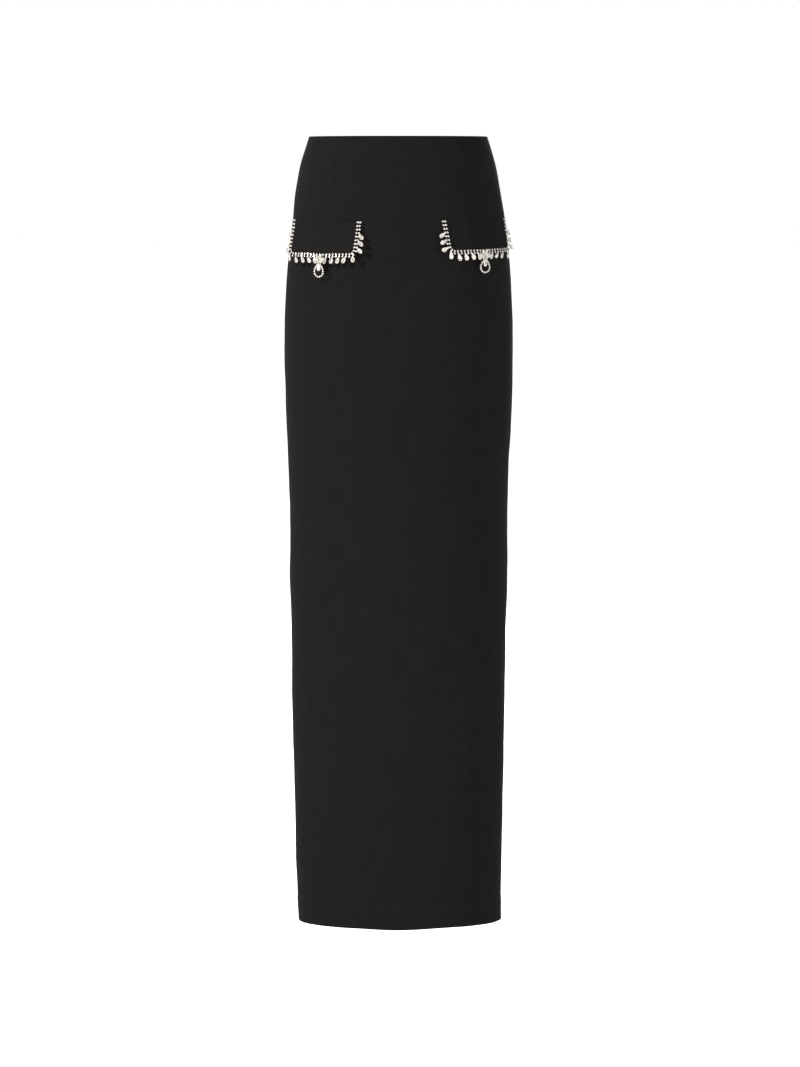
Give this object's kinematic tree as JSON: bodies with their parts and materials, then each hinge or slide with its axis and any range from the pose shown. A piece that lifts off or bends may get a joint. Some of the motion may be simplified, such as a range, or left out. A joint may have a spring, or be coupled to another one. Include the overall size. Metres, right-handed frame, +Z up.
{
  "type": "pencil skirt",
  "caption": "Long high-waisted black crepe pencil skirt with hip flaps edged in crystal chain and pear drops, hanging crystal teardrops, a centre-back zip and a walking slit.",
  "frame": {"origin": "middle of the waist, where the wearer's body holds the skirt, 20 mm below its top edge", "axes": "+Z up, -Y the skirt's front, +X the wearer's left"},
  "size_m": [0.3184, 0.2446, 1.098],
  "materials": {
    "black_crepe": "matt crepe with a soft dull sheen",
    "crystal_trim": "faceted clear crystals in bright silver-tone cups",
    "zip_tape": "black woven tape",
    "zip_metal": "black enamel, satin"
  },
  "bodies": {
    "skirt": {"front_panel": "black_crepe", "back_panel_left": "black_crepe", "back_panel_right": "black_crepe", "flap_left": "black_crepe", "flap_right": "black_crepe", "trim_left": "crystal_trim", "trim_right": "crystal_trim", "cluster_left": "crystal_trim", "cluster_right": "crystal_trim", "zip_tape": "zip_tape", "zip_slider": "zip_metal"},
    "pendant_left": {"pendant_left": "crystal_trim"},
    "pendant_right": {"pendant_right": "crystal_trim"},
    "zip_pull": {"zip_pull": "zip_metal"}
  },
  "joints": [
    {"name": "pendant_left_swing", "type": "hinge", "parent": "skirt", "child": "pendant_left", "pos_m": [0.11557, -0.09004, -0.14518], "axis": [-0.8351, -0.5501, 0], "range_deg": [-8, 80]},
    {"name": "pendant_right_swing", "type": "hinge", "parent": "skirt", "child": "pendant_right", "pos_m": [-0.11422, -0.09165, -0.15095], "axis": [-0.8602, 0.51, 0], "range_deg": [-8, 80]},
    {"name": "zip_pull_swing", "type": "hinge", "parent": "skirt", "child": "zip_pull", "pos_m": [-0.0008, 0.09436, 0.0084], "axis": [1, 0, 0], "range_deg": [0, 150]}
  ]
}
